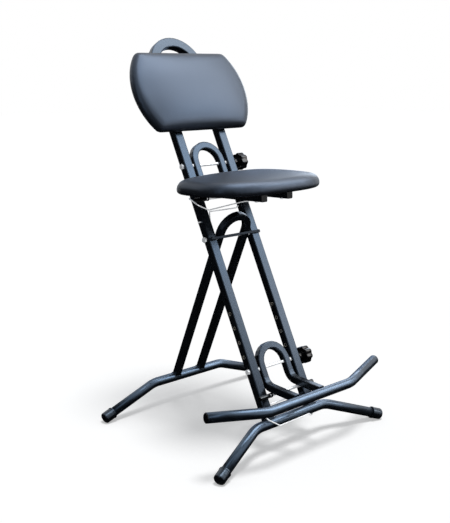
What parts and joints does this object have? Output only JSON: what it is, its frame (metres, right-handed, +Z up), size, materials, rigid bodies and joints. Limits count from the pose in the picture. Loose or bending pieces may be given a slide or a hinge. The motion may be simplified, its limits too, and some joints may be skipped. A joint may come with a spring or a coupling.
{
  "type": "stool with backrest",
  "caption": "Folding sit-stand stool: padded seat and backrest on a leaning tube hoop, hinged rear legs and a tip-up footrest pinned in a row of holes.",
  "frame": {"origin": "on the floor, at the middle of the bounding box's footprint", "axes": "+Z up, -Y towards the front where the sitter's feet rest, +X towards the side with the knobs"},
  "size_m": [0.643, 0.608, 1.0663],
  "materials": {
    "black_powder_coat": "satin black powder coat",
    "black_leatherette": "smooth satin leatherette",
    "stained_plywood": "dark stained, matt",
    "bright_zinc": "bright zinc plate",
    "black_plastic": "matt moulded",
    "black_rubber": "matt"
  },
  "bodies": {
    "main_frame": {"main_frame_tube": "black_powder_coat", "front_base_tube": "black_powder_coat", "front_foot_left": "black_rubber", "front_foot_right": "black_rubber", "spread_stop_strap": "black_powder_coat", "pivot_bolt": "bright_zinc", "pivot_nut": "bright_zinc", "pivot_spacer_left": "bright_zinc", "pivot_spacer_right": "bright_zinc", "backrest_board": "stained_plywood", "backrest_pad": "black_leatherette", "backrest_screw_1": "bright_zinc", "backrest_screw_2": "bright_zinc", "backrest_screw_3": "bright_zinc", "backrest_screw_4": "bright_zinc", "seat_pin": "bright_zinc", "seat_spacer_left": "bright_zinc", "seat_spacer_right": "bright_zinc", "seat_wire_bail": "bright_zinc", "seat_wire_hook": "bright_zinc", "base_wire_bail": "bright_zinc"},
    "rear_legs": {"rear_leg_tube": "black_powder_coat", "rear_base_tube": "black_powder_coat", "rear_foot_left": "black_rubber", "rear_foot_right": "black_rubber"},
    "seat": {"seat_frame_tube": "black_powder_coat", "seat_board": "stained_plywood", "seat_pad": "black_leatherette", "seat_plug_left": "black_plastic", "seat_plug_right": "black_plastic", "seat_stop_rod": "bright_zinc", "seat_stop_sleeve_left": "black_plastic", "seat_stop_sleeve_right": "black_plastic", "seat_stop_cap_left": "black_plastic", "seat_stop_cap_right": "black_plastic", "seat_screw_1": "bright_zinc", "seat_screw_2": "bright_zinc", "seat_screw_3": "bright_zinc", "seat_screw_4": "bright_zinc"},
    "seat_knob": {"seat_knob": "black_plastic"},
    "footrest_carriage": {"footrest_pin": "bright_zinc", "footrest_spacer_left": "bright_zinc", "footrest_spacer_right": "bright_zinc"},
    "footrest": {"footrest_frame_tube": "black_powder_coat", "footrest_bar": "black_powder_coat", "footrest_plug_left": "black_plastic", "footrest_plug_right": "black_plastic", "footrest_stop_rod": "bright_zinc", "footrest_stop_sleeve_left": "black_plastic", "footrest_stop_sleeve_right": "black_plastic", "footrest_stop_cap_left": "black_plastic", "footrest_stop_cap_right": "black_plastic"},
    "footrest_knob": {"footrest_knob": "black_plastic"}
  },
  "joints": [
    {"name": "rear_leg_fold", "type": "hinge", "parent": "main_frame", "child": "rear_legs", "pos_m": [0, 0.01929, 0.531], "axis": [-1, 0, 0], "range_deg": [0, 46]},
    {"name": "seat_fold", "type": "hinge", "parent": "main_frame", "child": "seat", "pos_m": [0, 0.11686, 0.71922], "axis": [-1, 0, 0], "range_deg": [0, 74]},
    {"name": "seat_knob_turn", "type": "hinge", "parent": "main_frame", "child": "seat_knob", "pos_m": [0, 0.11686, 0.71922], "axis": [1, 0, 0], "continuous": true},
    {"name": "footrest_height", "type": "slide", "parent": "main_frame", "child": "footrest_carriage", "axis": [0, -0.4602, -0.8878], "range_m": [-0.2, 0.04]},
    {"name": "footrest_fold", "type": "hinge", "parent": "footrest_carriage", "child": "footrest", "pos_m": [0, -0.15142, 0.20165], "axis": [1, 0, 0], "range_deg": [-110, 0]},
    {"name": "footrest_knob_turn", "type": "hinge", "parent": "footrest_carriage", "child": "footrest_knob", "pos_m": [0, -0.15142, 0.20165], "axis": [1, 0, 0], "continuous": true}
  ]
}
